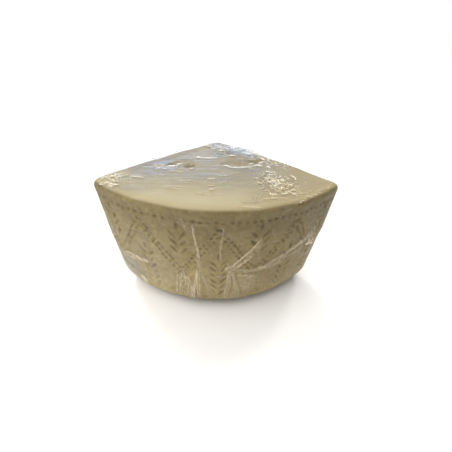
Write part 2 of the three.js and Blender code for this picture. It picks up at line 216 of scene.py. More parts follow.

# Long pleats, some short bright ones that paint glints, and short bright creases that paint glints too,
# given as a first point and steps to the next
TOP_PLEATS = (
    ((5, -75, 13, -84.5, 26, -84.5, 40, -79, 52, -70), 0.55, 0.7, 0.65, 2, 1, 3),
    ((20, -61, 33, -60, 49, -52), 0.6, 0.56, 0.27, 2, 2, 4),
    ((-24, -60, -12, -61, 2, -59), 0.5, 0.56, 0.9, 2, 1, 2),
    ((-12, -111, -3, -113), 0.5, 0.42, 0.75, 2, 1, 3), ((-12, -125, -4, -125), 0.5, 0.35, 0.6),
    ((-1, -105, 10, -104), 0.5, 0.35, 0.6), ((1, -119, 9, -117), 0.5, 0.35, 0.55),
    ((16, -122, 27, -121), 0.45, 0.35, 0.35), ((12, -98, 24, -97), 0.45, 0.35, 0.35),
    ((-38, -118, -26, -119), 0.45, 0.35, 0.35, 2, 2, 5),
    ((-52, -128, -34, -131), 0.45, 0.35, 0.35, 2, 2, 5),
    ((-22, -138, -6, -140), 0.45, 0.35, 0.35, 2, 2, 5),
    ((-66, -104, -52, -108), 0.45, 0.35, 0.35, 2, 2, 4),
    ((-84, -108, -70, -111), 0.54, 0.42, 0.36, 2, 1, 3),
    ((-72, -84, -58, -84, -48, -90, -32, -94), 0.5, 0.5, 0.3, 3, 3, 9),
    ((14, -159, 27, -160, 38, -159.5), 0.78, 0.49, 0.32),
    ((-10, -30, 2, -24, 14, -28), 0.72, 1.1, 0.38, 3, 4, 9),
    ((-8, -16, 6, -14), 0.72, 0.98, 0.36, 2, 3, 5),
    ((8, -34, 24, -36, 40, -46), 0.72, 0.84, 0.32, 4, 6, 14),
    ((30, -32, 44, -46, 54, -62), 0.66, 0.7, 0.41, 2, 3, 5),
    ((-14, -26, -4, -16, 4, -14), 0.8, 1.2, 0.9, 2, 2, 4),
    ((-8, -34, 4, -30, 18, -34), 0.8, 1.2, 0.8, 2, 2, 4), ((30, -31, 40, -43), 0.8, 1, 0.8, 2, 1, 3),
    ((14, -53, 21, -52), 0.9, 0.7, 0.7), ((-52.5, -82, -48, -82.3, -43.5, -81), 0.8, 0.8, 1.3),
    ((-45.5, -76, -42, -76, -38.5, -73.5), 0.9, 0.8, 1.4), ((-28.8, -88.5, -25.6, -88), 1, 0.8, 1.5),
    ((-24, -59.3, -20, -59.5), 1.2, 0.9, 1.5), ((-63, -89.3, -59, -90), 0.8, 0.7, 1),
    ((-56.5, -91.2, -53, -91.2), 0.8, 0.7, 1), ((-25, -59, -19, -60), 1, 0.8, 0.8),
)
# Width, rise and white of the short creases that paint glints
GLINT = (0.5, 0.7, 1.25)
TOP_GLINTS = (
    (-52, -83, 8, 0), (-45, -77, 4, 0, 3, 4), (-45, -85, 3, 2), (-30, -90, 5, 3), (-41, -98, 5, 2),
    (-25, -61, 5, 1), (-20, -62, 8, 1, 9, 1), (5, -80, 7, -2), (14, -84, 7, 0), (22, -84, 8, 2),
    (33, -75, 6, 2), (39, -79, 9, 0), (43, -73, 9, 6), (47, -56, 6, -8), (32, -35, 6, -7),
    (12, -54, 7, 1), (1, -39, 8, 1), (38, -41, 7, -7), (48, -94, 8, -3), (-85, -107, 7, -3, 8, -1),
    (-106, -120, 5, -3, 5, -1), (-99, -125, 9, -1), (-103, -112, 5, 4), (-97, -107, 7, 6),
    (-10, -132, 6, 1), (4, -22, 8, -1), (17, -31, 4, -1), (34, -33, 6, -3), (44, -45, 6, -5),
    (-108, -111, 5, -4), (-105, -123, 5, 2), (-97, -128, 6, 2), (-100, -115, 5, -7),
    (-98, -110, 4, 0, 5, 9), (-97, -123, 2, 6), (-100, -108, 6, -10), (-100, -126, 5, -4),
    (0, -37, 7, 0), (14, -51, 4, -1), (32, -30, 6, -9), (49, -57, 3, -6), (44, -72, 6, 3),
    (41, -78, 5, -3), (31, -85, 4, -1), (-7, -18, 7, -2), (37, -53, 4, -2), (51, -80, 4, -5),
    (36, -111, 3, 4), (35, -120, 4, 3), (48, -93, 6, -3), (44, -108, 5, -1), (72, -101, 3, -5, 0, -6),
    (65, -121, 4, -3), (38, -147, 5, 0), (44, -147, 6, 2), (44, -140, 7, 0), (55, -139, 6, 1),
    (64, -133, 6, 2), (50, -117, 6, 8), (56, -111, 2, -6), (59, -113, 4, -2), (50, -125, 5, 2),
    (55, -131, 5, 4), (51, -134, 5, 2), (26, -25, 6, -6), (29, -32, 7, -5), (16, -19, 7, -5),
)

# Short grey creases, painted shade where bunched film turns away from the light, and the film's edges
# along the cuts
CREASE = (0.7, 0.6, 1.2)
TOP_CREASES = (
    (8, -25, 17, -26), (22, -24, 28, -29), (22, -37, 34, -38), (-11, -28, 5, -33), (9, -43, 19, -44),
    (-4, -45, 8, -48), (26, -31, 36, -42),
)
TOP_EDGES = (
    ((69, -67, 89, -84, 107, -100), 0.7, 0.4, 0.7), ((-105, -102, -76, -68, -36, -28), 0.7, 0.4, 0.5),
)

CUT_PLEATS = (
    ((152, 130, 100, 82, 40, 10), 0.7, 0.8, 0.42, 5, 3, 30),
    ((24, 136, 36, 74, 28, 6), 0.7, 0.8, 0.38, 4, 2, 16),
    ((148, 18, 96, 32, 36, 20), 0.7, 0.8, 0.34, 4, 4, 18),
    ((118, 140, 114, 90, 126, 10), 0.8, 1, 0.5, 2, 2, 6),
    ((60, 138, 76, 118, 88, 88), 0.6, 0.7, 0.36, 2, 2, 6),
    ((-148, 14, -98, 52, -46, 132), 0.7, 0.8, 0.42, 5, 4, 34),
    ((-20, 12, -32, 72, -24, 138), 0.7, 0.8, 0.38, 4, 4, 16),
    ((-78, 8, -84, 70, -76, 140), 0.8, 1, 0.5, 2, 2, 6),
    ((-150, 112, -120, 100, -92, 104), 0.6, 0.7, 0.36, 3, 2, 9),
    ((-60, 10, -52, 30, -34, 46), 0.6, 0.7, 0.34, 3, 3, 10),
)
# Bands along some of them: the pleat's number, the half widths and how white
CUT_BANDS = tuple((CUT_PLEATS[number][0], *band) for number, *band in (
    (0, 3, 16, 0.2), (1, 3, 9, 0.18), (3, 3, 5, 0.2), (5, 4, 18, 0.2), (6, 3, 9, 0.18), (7, 3, 5, 0.2),
))

# Ovals of short creases painted white as the glints of crumpled film: as a spot up to the turn, then
# their number, length and white
TOP_SPARKLE_LACE = (
    (51, -116, 38, 48, 10, 270, 3.6, 0.95), (54, -113, 18, 32, 0, 130, 2.8, 1.5),
    (61, -124, 32, 34, 20, 120, 4, 0.95), (-101, -114, 34, 16, 40, 52, 3.6, 2.1),
    (-92, -118, 34, 10, 20, 20, 3.6, 1.5), (3, -24, 34, 30, 0, 50, 9, 0.9),
    (28, -33, 50, 14, -43, 80, 6, 1.8), (52, -60, 24, 8, -45, 18, 6, 0.9),
    (70, -138, 40, 7, 26, 30, 3, 0.9), (46, -144, 40, 16, 8, 60, 4, 0.45),
    (85, -138, 56, 5, 38, 60, 2.6, 1), (-44, -94, 40, 8, 20, 16, 5, 0.6),
    (62, -75, 46, 20, -43, 60, 3.6, 1.15),
)
RIND_SPARKLE_LACE = (
    (110, 81, 11, 12, 0, 14, 6, 1), (-92, 64, 40, 10, 8, 16, 5, 0.6), (-91, 30, 13, 10, 0, 26, 4.5, 1.3),
    (-122, 34, 34, 22, -8, 16, 6, 0.3), (124, 92, 12, 22, 0, 16, 6, 0.6), (12, 74, 10, 9, 0, 12, 5, 0.6),
)

# Places where the film is finely crumpled and painted with fine glint lines, with how much
TOP_CRUMPLES = (
    (56, -117, 60, 66, 10, 1), (-103, -112, 40, 30, 40, 0.4), (-56, -84, 66, 34, 35, 0.45),
    (3, -22, 36, 34, 0, 0.9), (32, -42, 50, 30, -40, 0.75), (74, -146, 36, 12, 20, 0.6),
    (34, -72, 46, 30, 0, 0.4),
)
RIND_CRUMPLES = (
    (112, 80, 14, 16, 0, 1), (-96, 65, 48, 16, 8, 0.9), (-110, 36, 60, 26, -8, 0.7),
    (-92, 30, 22, 14, 0, 0.9), (12, 74, 14, 12, 0, 0.7), (124, 96, 16, 24, 0, 0.6),
)

# Places where the film stands off and looks cloudy, in white or in a misty grey that is partly a painted
# reflection of the sky, with how much
TOP_CLOUDS = (
    (-57, -82, 104, 54, 42, 0.58), (-8, -58, 76, 62, 20, 0.32), (-20, -98, 90, 44, 20, 0.33),
    (14, -88, 130, 96, 0, 0.3), (-84, -100, 64, 36, 44, 0.25), (-66, -126, 90, 26, 14, 0.1),
    (-34, -45, 62, 24, 44, 0.26),
)
RIND_CLOUDS = (
    (34, 47, 26, 40, 0, 0.26), (86, 74, 70, 14, 14, 0.06), (-36, 46, 36, 44, 0, 0.06),
    (-70, 40, 44, 44, 0, 0.16), (12, 40, 28, 64, 0, 0.07), (124, 60, 24, 54, 0, 0.18),
)
RIND_HAZE_REFLECTION = (
    (-116, 44, 72, 56, 0, 0.36), (-126, 90, 30, 80, 0, 0.16), (-72, 70, 84, 110, 0, 0.1),
)

# Places where bunched film is bluish white, partly cloudy and partly a painted reflection of the sky,
# with how much
TOP_FROST_REFLECTION = ((8, -21, 46, 42, 0, 0.78), (25, -37, 64, 34, -41, 0.88))
RIND_FROST_REFLECTION = ((128, 93, 12, 30, 0, 0.5), (-134, 44, 12, 40, 0, 0.4))
CUT_FROST_REFLECTION = (
    (112, 96, 84, 14, 38, 0.24), (66, 44, 70, 12, 46, 0.2), (30, 70, 12, 90, 0, 0.24),
    (128, 60, 10, 90, 4, 0.2), (-112, 44, 80, 14, -36, 0.24), (-66, 100, 70, 14, -46, 0.2),
    (-30, 74, 12, 90, 0, 0.24), (-82, 70, 10, 110, 0, 0.2),
)

# Places on the top of the cheese with more painted shade, with how much
TOP_PAINTED_SHADES = ((-76, -124, 92, 36, 10, 0.62),)

# Places where the film bulges away from the cheese, with how far
RIND_BULGES = (
    (126, 94, 24, 32, 0, 1.6), (-112, 28, 42, 30, 0, 1.6), (-124, 52, 24, 24, 0, 0.7),
)

# Strands of film: points along each, and its section from foot to foot, across and up
PLEAT_STEPS = 44
PLEAT_SECTION = ((-1, -0.2), (-0.5, 0.6), (0, 1), (0.5, 0.6), (1, -0.2))
PLEAT_FOOT = 2.6
LINE_STEPS = 15
LACE_SEED = 100
LACE_STEPS = 9
LACE_WIDTH = 0.3
LACE_RISE = 0.35
RIDGE_REACH = 6

# Colours of the cheese
PASTE = ((0.39, 0.335, 0.2), (0.455, 0.4, 0.25))
# Painted shade on the top's paste, darker towards its back and right
PASTE_PAINTED_SHADE = (0.725, 0.695, 0.65)
# Painted light that lifts the cut faces' paste out of their shade
PASTE_CUT_PAINTED_LIGHT = (1.3, 1.25, 1.25)
PASTE_BAND = (0.37, 0.31, 0.15)
CRUST = ((0.3095, 0.2541, 0.104), (0.4193, 0.3465, 0.1548))
# Crust tone from the grain: tone that varies, painted shade in the pits and painted light on knobs and
# rims
CRUST_TONE_AND_SHADE = ((0.78, 0.76, 0.7), (1.26, 1.25, 1.23))
# Painted shade and light down the rind: darker under the top edge, lighter towards the foot
CRUST_PAINTED_LIGHT_BY_HEIGHT = ((0.71, 0.685, 0.59), (1.28, 1.28, 1.37))
# Tint of the painted shade over the rind
CRUST_PAINTED_SHADE = (0.605, 0.565, 0.5)
# Tint of the painted shade in marks, chips, pits and gaps and along the foot, with some oil in the marks
SHADE_AND_OIL_TINT = (0.5, 0.44, 0.25)

# Speckles of the rind: fineness, detail, from, to, share, colour and blend
SPECKLES = (
    (16, 3, 0.35, 0.65, 0.45, (0.2888, 0.231, 0.104), "MIX"),
    (150, 4, 0.38, 0.62, 0.42, (0.8, 0.78, 0.7), "MULTIPLY"),
    (430, 3, 0.42, 0.6, 0.5, (0.8, 0.78, 0.72), "MULTIPLY"),
    (260, 2, 0.6, 0.72, 0.25, (0.2, 0.155, 0.065), "MIX"),
)

# Colours of the film: clear; milky cream going to the near white of painted glints, cooler towards the
# back; a misty grey and a frosty blue, each partly a painted reflection of the sky
FILM_CLEAR = (0.97, 0.97, 0.97)
FILM_MILKY_TO_GLINT = ((0.88, 0.76, 0.51), (1, 0.98, 0.88))
FILM_COOL = (1, 0.975, 0.95)
FILM_MIST_AND_REFLECTION = (0.315, 0.343, 0.42)
FILM_FROST_REFLECTION = ((0.38, 0.425, 0.53), (0.92, 0.95, 1))

# Camera, with its lens and view in pixels and its turn, downward tilt and roll in degrees
LENS_PIXELS = 258.8
VIEW_PIXELS = 452
EYE = (-8.06, -338.1, 259.2)
CAMERA_ANGLES = (4.25, 36.87, 2.99)
CAMERA_CLIP = (0.01, 50)

# Distant lights: azimuth from behind towards the right, elevation, apparent width, strength and colour
SUNS = {
    "overhead": (-80, 66, 75, 1.9, (1, 0.99, 0.97)),
    "lamp_left": (-38, 55, 10, 0.6, (1, 0.98, 0.95)),
    "lamp_right": (38, 57, 10, 0.6, (1, 0.96, 0.9)),
    "lamp_front": (-135, 66, 40, 0.8, (1, 0.98, 0.94)),
}
# Soft boxes, in metres: place, target, size, power and colour
SOFT_BOXES = {
    "front_fill": ((-0.9, -1.1, 0.3), (0, -0.1, 0), (1.2, 0.5), 4, (1, 0.98, 0.93)),
    "window": ((-0.3, 1.6, 0.66), (0, 0, HEIGHT * MM), (0.85, 0.4), 3.4, (0.7, 0.82, 1)),
}
WORLD_LIGHT = 0.3
WORLD_MORE_TO_CAMERA = 0.7
WORLD_MORE_TO_GLOSS = 0.3
FLOOR_HALF = 6


def smooth(low, high, value):
    """A smooth step from 0 at low to 1 at high."""
    t = np.clip((value - low) / (high - low), 0, 1)
    return t * t * (3 - 2 * t)


def mix(a, b, share):
    return a + (b - a) * share


def strongest(*fields):
    return reduce(np.maximum, fields)


def weighted(fields, amounts):
    """The sum of some fields by name, each times its amount."""
    return sum(amount * fields[name] for name, amount in amounts.items())


def tone(fields, rows):
    """The sum of some amounts, each faded in along named fields."""
    total = 0
    for amount, *fades in rows:
        for name, start, end in fades:
            amount = amount * smooth(start, end, fields[name])
        total = total + amount
    return total


def waves(a, b):
    """Gentle waves over two surface coordinates, between -1 and 1."""
    broad = np.sin(a / 23 + 0.7) * np.cos(b / 31 - 0.4)
    middle = np.sin(a / 11 - b / 17 + 1.9)
    short = np.cos(a / 7.3 + b / 9.1 + 0.3)
    return 0.5 * broad + 0.3 * middle + 0.2 * short


def unit(vectors):
    return vectors / np.maximum(np.linalg.norm(vectors, axis=-1, keepdims=True), 1e-9)


def rind_radius(z):
    """The rind's radius at a height: round at the foot, then nearly straight up to the top edge."""
    top_start = HEIGHT - TOP_ROUND
    if z < FOOT_ROUND:
        return FOOT_RADIUS - FOOT_ROUND + sqrt(FOOT_ROUND**2 - (FOOT_ROUND - z) ** 2)
    rise = min((z - FOOT_ROUND) / (top_start - FOOT_ROUND), 1)
    above = max(z - top_start, 0)
    top_inset = TOP_ROUND - sqrt(max(TOP_ROUND**2 - above**2, 0))
    return mix(FOOT_RADIUS, WHEEL_RADIUS, rise) + RIND_BULGE * sin(pi * rise) - top_inset


def cut_inset(z):
    """How far the cut faces' softened edges step in at a height."""
    from_end = min(z, HEIGHT - z, CUT_ROUND)
    return CUT_ROUND - sqrt(CUT_ROUND**2 - (CUT_ROUND - from_end) ** 2)


def cut_bow(away):
    """How far the cut faces bow out at a distance from the wheel's axis."""
    return CUT_BOW * np.sin(pi * np.minimum(away / WHEEL_RADIUS, 1))


def rind_wave(arc, z):
    return RIND_WAVE * waves(arc * 1.3, z * 1.2) * smooth(0, FOOT_ROUND, z)


def top_wave(x, y):
    """The top face's unevenness, kept at or under the full height."""
    return -TOP_WAVE * (0.5 + 0.5 * waves(x * 0.8, y * 0.9))


def half_outline(z, steps):
    """Half of the outline from the front middle to the back: x, y, normal angle and rindness."""
    arc_steps, corner_steps, cut_steps, apex_steps = steps
    radius = rind_radius(z)
    inset = cut_inset(z)
    cut_normal = HALF_ANGLE + pi / 2
    aside = CORNER_ROUND + inset
    along = sqrt((radius - CORNER_ROUND) ** 2 - aside**2)
    corner_x = along * sin(HALF_ANGLE) - aside * cos(HALF_ANGLE)
    corner_y = -along * cos(HALF_ANGLE) - aside * sin(HALF_ANGLE)
    corner_angle = atan2(corner_x, -corner_y)
    apex_y = -(CUT_ROUND + inset) / sin(HALF_ANGLE)

    def on_circle(x, y, r, angles, rindness):
        places = x + r * np.sin(angles), y - r * np.cos(angles)
        return np.stack([*places, angles, rindness + 0 * angles], 1)

    arc = on_circle(0, 0, radius, np.linspace(0, corner_angle, arc_steps + 1), 1)
    shares = np.linspace(0, 1, corner_steps + 1)[1:]
    corner_angles = mix(corner_angle, cut_normal, shares)
    corner = on_circle(corner_x, corner_y, CORNER_ROUND, corner_angles, 1 - shares)
    apex = on_circle(0, apex_y, CUT_ROUND, np.linspace(cut_normal, pi, apex_steps + 1), 0)
    cut = mix(corner[-1], apex[0], np.linspace(0, 1, cut_steps + 1)[1:-1, None])
    return np.concatenate([arc, corner, cut, apex])


def outline(z, steps):
    """The whole plan outline, counterclockwise from the front middle."""
    half = half_outline(z, steps)
    mirrored = half[1:-1][::-1] * (-1, 1, -1, 1)
    return np.concatenate([half, mirrored])


def level_heights():
    """Heights of the rows down the side, closer together where the form turns."""
    quarter = pi / 2
    top = HEIGHT - TOP_ROUND * (1 - np.cos(np.linspace(0, quarter, EDGE_ROWS + 1)))
    side = np.linspace(HEIGHT - TOP_ROUND, FOOT_ROUND, SIDE_ROWS + 1)[1:-1]
    foot = FOOT_ROUND * (1 - np.cos(np.linspace(quarter, 0, FOOT_ROWS + 1)))
    return np.concatenate([top, side, foot])


class Loft:
    """A closed body as a grid, with rows over the top face, down the sides and over the underside."""

    def __init__(self, columns):
        side = np.array([self.level(z, columns) for z in level_heights()])
        top = self.rings(side[0], np.linspace(TOP_FIRST_RING, 1, TOP_ROWS + 1)[:-1] ** TOP_RING_POWER)
        top[..., 2] = HEIGHT + top_wave(top[..., 0], top[..., 1])
        under = self.rings(side[-1], np.linspace(1, UNDER_LAST_RING, UNDER_ROWS + 1)[1:])
        grid = np.concatenate([top, side, under])
        self.points = grid[..., :3]
        self.x, self.y, self.z, self.arc, self.rindness, self.top = np.moveaxis(grid, 2, 0)
        self.side = self.top < 0.5
        self.side[-UNDER_ROWS:] = False
        self.rind = self.side & (self.rindness > 0.9)
        self.cut = self.side & (self.rindness < 0.1)
        self.along_cut = np.hypot(self.x, self.y) * np.sign(self.x)
        # Two surface coordinates of every place, and which places lie on each face
        self.on = {
            "top": (self.x, self.y, self.top > 0.5),
            "rind": (self.arc, self.z, self.rind),
            "cut": (self.along_cut, self.z, self.cut),
        }

    @staticmethod
    def level(z, columns):
        x, y, angle, rindness = outline(z, columns).T
        arc = angle * WHEEL_RADIUS
        away = np.hypot(x, y)
        cut_rise = cut_bow(away) + CUT_WAVE * waves(away + 40 * np.sign(x), z) * smooth(0, CUT_ROUND, z)
        rise = mix(cut_rise, rind_wave(arc, z), rindness)
        x = x + rise * np.sin(angle)
        y = y - rise * np.cos(angle)
        top = smooth(HEIGHT - TOP_ROUND, HEIGHT, z)
        return np.stack([x, y, z + top * top_wave(x, y), arc, rindness, np.full_like(x, top)], 1)

    @staticmethod
    def rings(rim, shares):
        """Copies of a rim, each drawn in to a share of its size."""
        rings = np.repeat(rim[None], len(shares), 0)
        rings[..., :2] = mix(np.array((0, MIDDLE_Y)), rim[:, :2], shares[:, None, None])
        return rings

    def normals(self):
        """Outward directions of the grid, from its neighbours' places."""
        across = np.roll(self.points, -1, 1) - np.roll(self.points, 1, 1)
        padded = np.pad(self.points, ((1, 1), (0, 0), (0, 0)), "edge")
        return unit(np.cross(padded[2:] - padded[:-2], across))

    def push(self, amount, floor):
        """Moves every place along its normal, but none below the given height."""
        self.points += self.normals() * amount[..., None]
        np.maximum(self.z, floor, out=self.z)


def sampled(points, function):
    """The value of a function of a vector at every place."""
    values = [function(Vector(p)) for p in points.reshape(-1, 3)]
    return np.array(values).reshape(points.shape[:-1])


def fractal(points, size, octaves=3, seed=0):
    """Noise between about -1 and 1, with features about size across."""
    smoothness, step = 0.9, 2.1
    return sampled(points / size + seed, lambda p: noise.fractal(p, smoothness, step, octaves))


def crumple_height(points, size):
    """Creased relief of crumpled film, between 0 and about 1."""
    return sampled(points / size, lambda p: noise.voronoi(p)[0][0])


def in_oval(u, v, middle_u, middle_v, width, length, turn):
    """Where each place lies across and along a turned oval, with 1 at its rim."""
    du, dv = u - middle_u, v - middle_v
    across = (du * cos(turn) + dv * sin(turn)) / (width / 2)
    along = (dv * cos(turn) - du * sin(turn)) / (length / 2)
    return across, along


def spots(u, v, on, places):
    """The strongest of some soft-edged spots at each place."""
    core, rim = 0.25, 1.15
    field = np.zeros(u.shape)
    for *oval, degrees, amount in places:
        reach = np.hypot(*in_oval(u, v, *oval, radians(degrees)))
        field = np.maximum(field, amount * (1 - smooth(core, rim, reach)) * on)
    return field


def mark_list():
    """Every pressed mark as arc, height, length, width, turn and whether it is a leaf."""
    marks = []

    def dot(arc, z, turn):
        marks.append((arc, z, DOT_LENGTH, DOT_WIDTH, turn, False))

    def leaf(arc, z, turn, length=LEAF_LENGTH):
        marks.append((arc, z, length, LEAF_WIDTH, turn, True))

    arm_rise = ZIGZAG_HIGH - ZIGZAG_LOW
    per_arm = round(hypot(ZIGZAG_ARM, arm_rise) / ZIGZAG_PITCH)
    last_arm = ceil(HALF_ANGLE * WHEEL_RADIUS / ZIGZAG_ARM)
    for arm in range(-last_arm, last_arm):
        falling = arm % 2 == 0
        for i in range(per_arm):
            share = (i + 0.5) / per_arm
            z = mix(ZIGZAG_LOW, ZIGZAG_HIGH, 1 - share if falling else share)
            turn = atan2(ZIGZAG_ARM, arm_rise) * (1 if falling else -1)
            for side in (-0.5, 0.5):
                dot((arm + share) * ZIGZAG_ARM, z + side * ZIGZAG_ROW_GAP, turn)
    for i in range(-SPRIGS_EACH_SIDE, SPRIGS_EACH_SIDE + 1):
        middle = i * ZIGZAG_ARM
        bottom, pairs = TALL_SPRIG if i % 2 == 0 else SHORT_SPRIG
        for pair in range(pairs):
            for side in (-1, 1):
                leaf(middle + side * LEAF_OFFSET, bottom + pair * LEAF_PITCH, -side * LEAF_TILT)
        leaf(middle, bottom + pairs * LEAF_PITCH, 0, TIP_LEAF_LENGTH)
        if i % 2:
            dot(middle, FLOWER_HEIGHT, 0)
            for petal in range(FLOWER_PETALS):
                angle = 2 * pi * petal / FLOWER_PETALS
                arc = middle + FLOWER_RADIUS * sin(angle)
                dot(arc, FLOWER_HEIGHT + FLOWER_RADIUS * cos(angle), -angle)
    reach = HALF_ANGLE * WHEEL_RADIUS - MARK_EDGE_MARGIN
    for i in range(BORDER_DOTS):
        dot(mix(-reach, reach, (i + 0.5) / BORDER_DOTS), BORDER_HEIGHT, pi / 2)
    return [m for m in marks if abs(m[0]) < reach]


def mark_depths(arc, z):
    """How deep the marks are pressed at each place and how far their rims rise, from 0 to 1."""
    deepest, rim = np.zeros((2, *arc.shape))
    for number, (mark_arc, mark_z, length, width, turn, is_leaf) in enumerate(mark_list()):
        mark_arc = mark_arc + MARK_JITTER * sin(number * 2.7)
        mark_z = mark_z + MARK_JITTER * sin(number * 4.1)
        worn = 0.82 + 0.18 * sin(number * 1.9) * sin(mark_arc / 17 + mark_z / 23)
        near = (np.abs(arc - mark_arc) < length) & (np.abs(z - mark_z) < length)
        across, along = in_oval(arc[near], z[near], mark_arc, mark_z, width, length, turn)
        reach = np.abs(across) + along**2 if is_leaf else np.hypot(across, along)
        deepest[near] = np.maximum(deepest[near], worn * (1 - smooth(0.3, 1.4, reach)))
        rim[near] = np.maximum(rim[near], smooth(1.1, 1.5, reach) * (1 - smooth(1.5, 2, reach)))
    return deepest, rim * (deepest < 0.05)


def chip_depths(x, y, roughness):
    """How deep the top face is broken out at each place."""
    deepest = np.zeros_like(x)
    uneven = np.clip(0.8 + 0.7 * roughness, 0.2, 1.3)
    for *oval, degrees, depth in TOP_CHIPS:
        reach = np.hypot(*in_oval(x, y, *oval, radians(degrees)))
        broken = 1 - smooth(0.55, 1, reach + 0.6 * roughness)
        deepest = np.maximum(deepest, depth * broken * uneven)
    return deepest


def curve_points(route, count):
    """Places evenly along a smooth curve through the points of a route."""
    route = np.reshape(route, (-1, 2))
    steps = np.hypot(*np.diff(route, axis=0).T)
    way = np.concatenate([[0], np.cumsum(steps)]) / steps.sum()
    t = np.linspace(0, 1, count)
    degree = min(len(route) - 1, 3)
    return t, np.stack([np.polyval(np.polyfit(way, route[:, i], degree), t) for i in (0, 1)], 1)


def strands(pleats, count):
    """Every strand of some pleats: its pleat, the pleat's and its own number, and its points."""
    for seed, pleat in enumerate(Pleat(*row) for row in pleats):
        t, middle = curve_points(pleat.route, count)
        aside = unit(np.gradient(middle, axis=0))[:, ::-1] * (1, -1)
        spread = mix(pleat.near, pleat.far, t)
        for number in range(pleat.strands):
            place = number / (pleat.strands - 1) - 0.5 if pleat.strands > 1 else 0
            phase = seed * 2.4 + number * 1.7
            place += 0.09 * sin(phase * 3.1)
            wander = (0.32 + 0.03 * spread) * np.sin(t * (4 + sin(phase) * 2) + phase)
            shift = place * spread + wander * np.sin(pi * t)
            yield pleat, seed, number, middle + aside * shift[:, None]


def lace_strokes(seed, u, v, width, length, degrees, count, reach):
    """Short bent strokes in an oval, denser towards its middle, each with a strength."""
    chance = np.random.RandomState(LACE_SEED + seed)
    turn = radians(degrees)
    t = np.linspace(-0.5, 0.5, LACE_STEPS)
    for _ in range(count):
        away = 0.5 * chance.uniform() ** 0.65
        around = chance.uniform(0, 2 * pi)
        a, b = width * away * cos(around), length * away * sin(around)
        middle = u + a * cos(turn) - b * sin(turn), v + a * sin(turn) + b * cos(turn)
        heading = chance.uniform(0, 2 * pi)
        headings = heading + chance.uniform(-2.6, 2.6) * t
        step = reach * chance.uniform(0.5, 1.3) / (LACE_STEPS - 1)
        path = np.cumsum(np.stack([np.cos(headings), np.sin(headings)], 1), 0) * step
        yield middle + path - path.mean(0), chance.uniform(0.45, 1)


def line_distance(u, v, points):
    """Distance of each place from a line of points, and the share of the way along it."""
    (u0, v0), (du, dv) = points[:-1].T, np.diff(points, axis=0).T
    u, v = u[:, None] - u0, v[:, None] - v0
    t = np.clip((u * du + v * dv) / (du * du + dv * dv), 0, 1)
    distance = np.hypot(u - t * du, v - t * dv)
    nearest = distance.argmin(1)
    best = np.arange(len(u)), nearest
    return distance[best], (nearest + t[best]) / len(du)


def stroke(u, v, on, points, near, far, fade):
    """Which places on a face a soft stroke along a line covers, and how strongly."""
    reach = 3 * max(near, far)
    low, high = points.min(0) - reach, points.max(0) + reach
    under = on & (u > low[0]) & (u < high[0]) & (v > low[1]) & (v < high[1])
    distance, share = line_distance(u[under], v[under], points)
    ends = smooth(0, 0.08, share) * (1 - smooth(fade, 1, share))
    return under, np.exp(-((distance / mix(near, far, share)) ** 2)) * ends


def add_pleats(rise, white, u, v, on, pleats):
    """Lifts and whitens the film a little along every strand of some pleats."""
    for pleat, _, _, points in strands(pleats, LINE_STEPS):
        width = PLEAT_FOOT * pleat.width
        under, foot = stroke(u, v, on, points, width, width, 0.7)
        rise[under] = np.maximum(rise[under], 0.5 * pleat.rise * foot)
        white[under] = np.maximum(white[under], 0.3 * pleat.white * foot)


def add_bands(white, u, v, on, bands):
    """Whitens the film softly along some curves."""
    for route, near, far, strength in bands:
        under, soft = stroke(u, v, on, curve_points(route, LINE_STEPS)[1], near, far, 0.8)
        white[under] = np.maximum(white[under], strength * soft)


def rind_place(arc, z):
    angle = arc / WHEEL_RADIUS
    radius = rind_radius(z)
    return radius * sin(angle), -radius * cos(angle), z


def top_place(x, y):
    return x, y, HEIGHT


def cut_place(along, z):
    side = copysign(1, along)
    bow = cut_bow(abs(along))
    x = along * sin(HALF_ANGLE) + side * bow * cos(HALF_ANGLE)
    y = -abs(along) * cos(HALF_ANGLE) + bow * sin(HALF_ANGLE)
    return x, y, z


def link(name, data):
    piece = bpy.data.objects.new(name, data)
    bpy.context.scene.collection.objects.link(piece)
    return piece


def link_mesh(name, verts, faces, material, attributes=()):
    """A smooth mesh with some numbers for every corner."""
    mesh = bpy.data.meshes.new(name)
    mesh.from_pydata(verts, [], faces)
    mesh.shade_smooth()
    for key, values in dict(attributes).items():
        attribute = mesh.attributes.new(key, "FLOAT", "POINT")
        attribute.data.foreach_set("value", np.array(values, np.float32))
    mesh.update()
    mesh.materials.append(material)
    return link(name, mesh)


def tube(rows, columns):
    """Faces between the rows of a closed tube whose corners are numbered row by row."""
    a = np.arange((rows - 1) * columns).reshape(-1, columns)
    b = np.roll(a, -1, 1)
    return np.stack([a, b, b + columns, a + columns], 2).reshape(-1, 4)


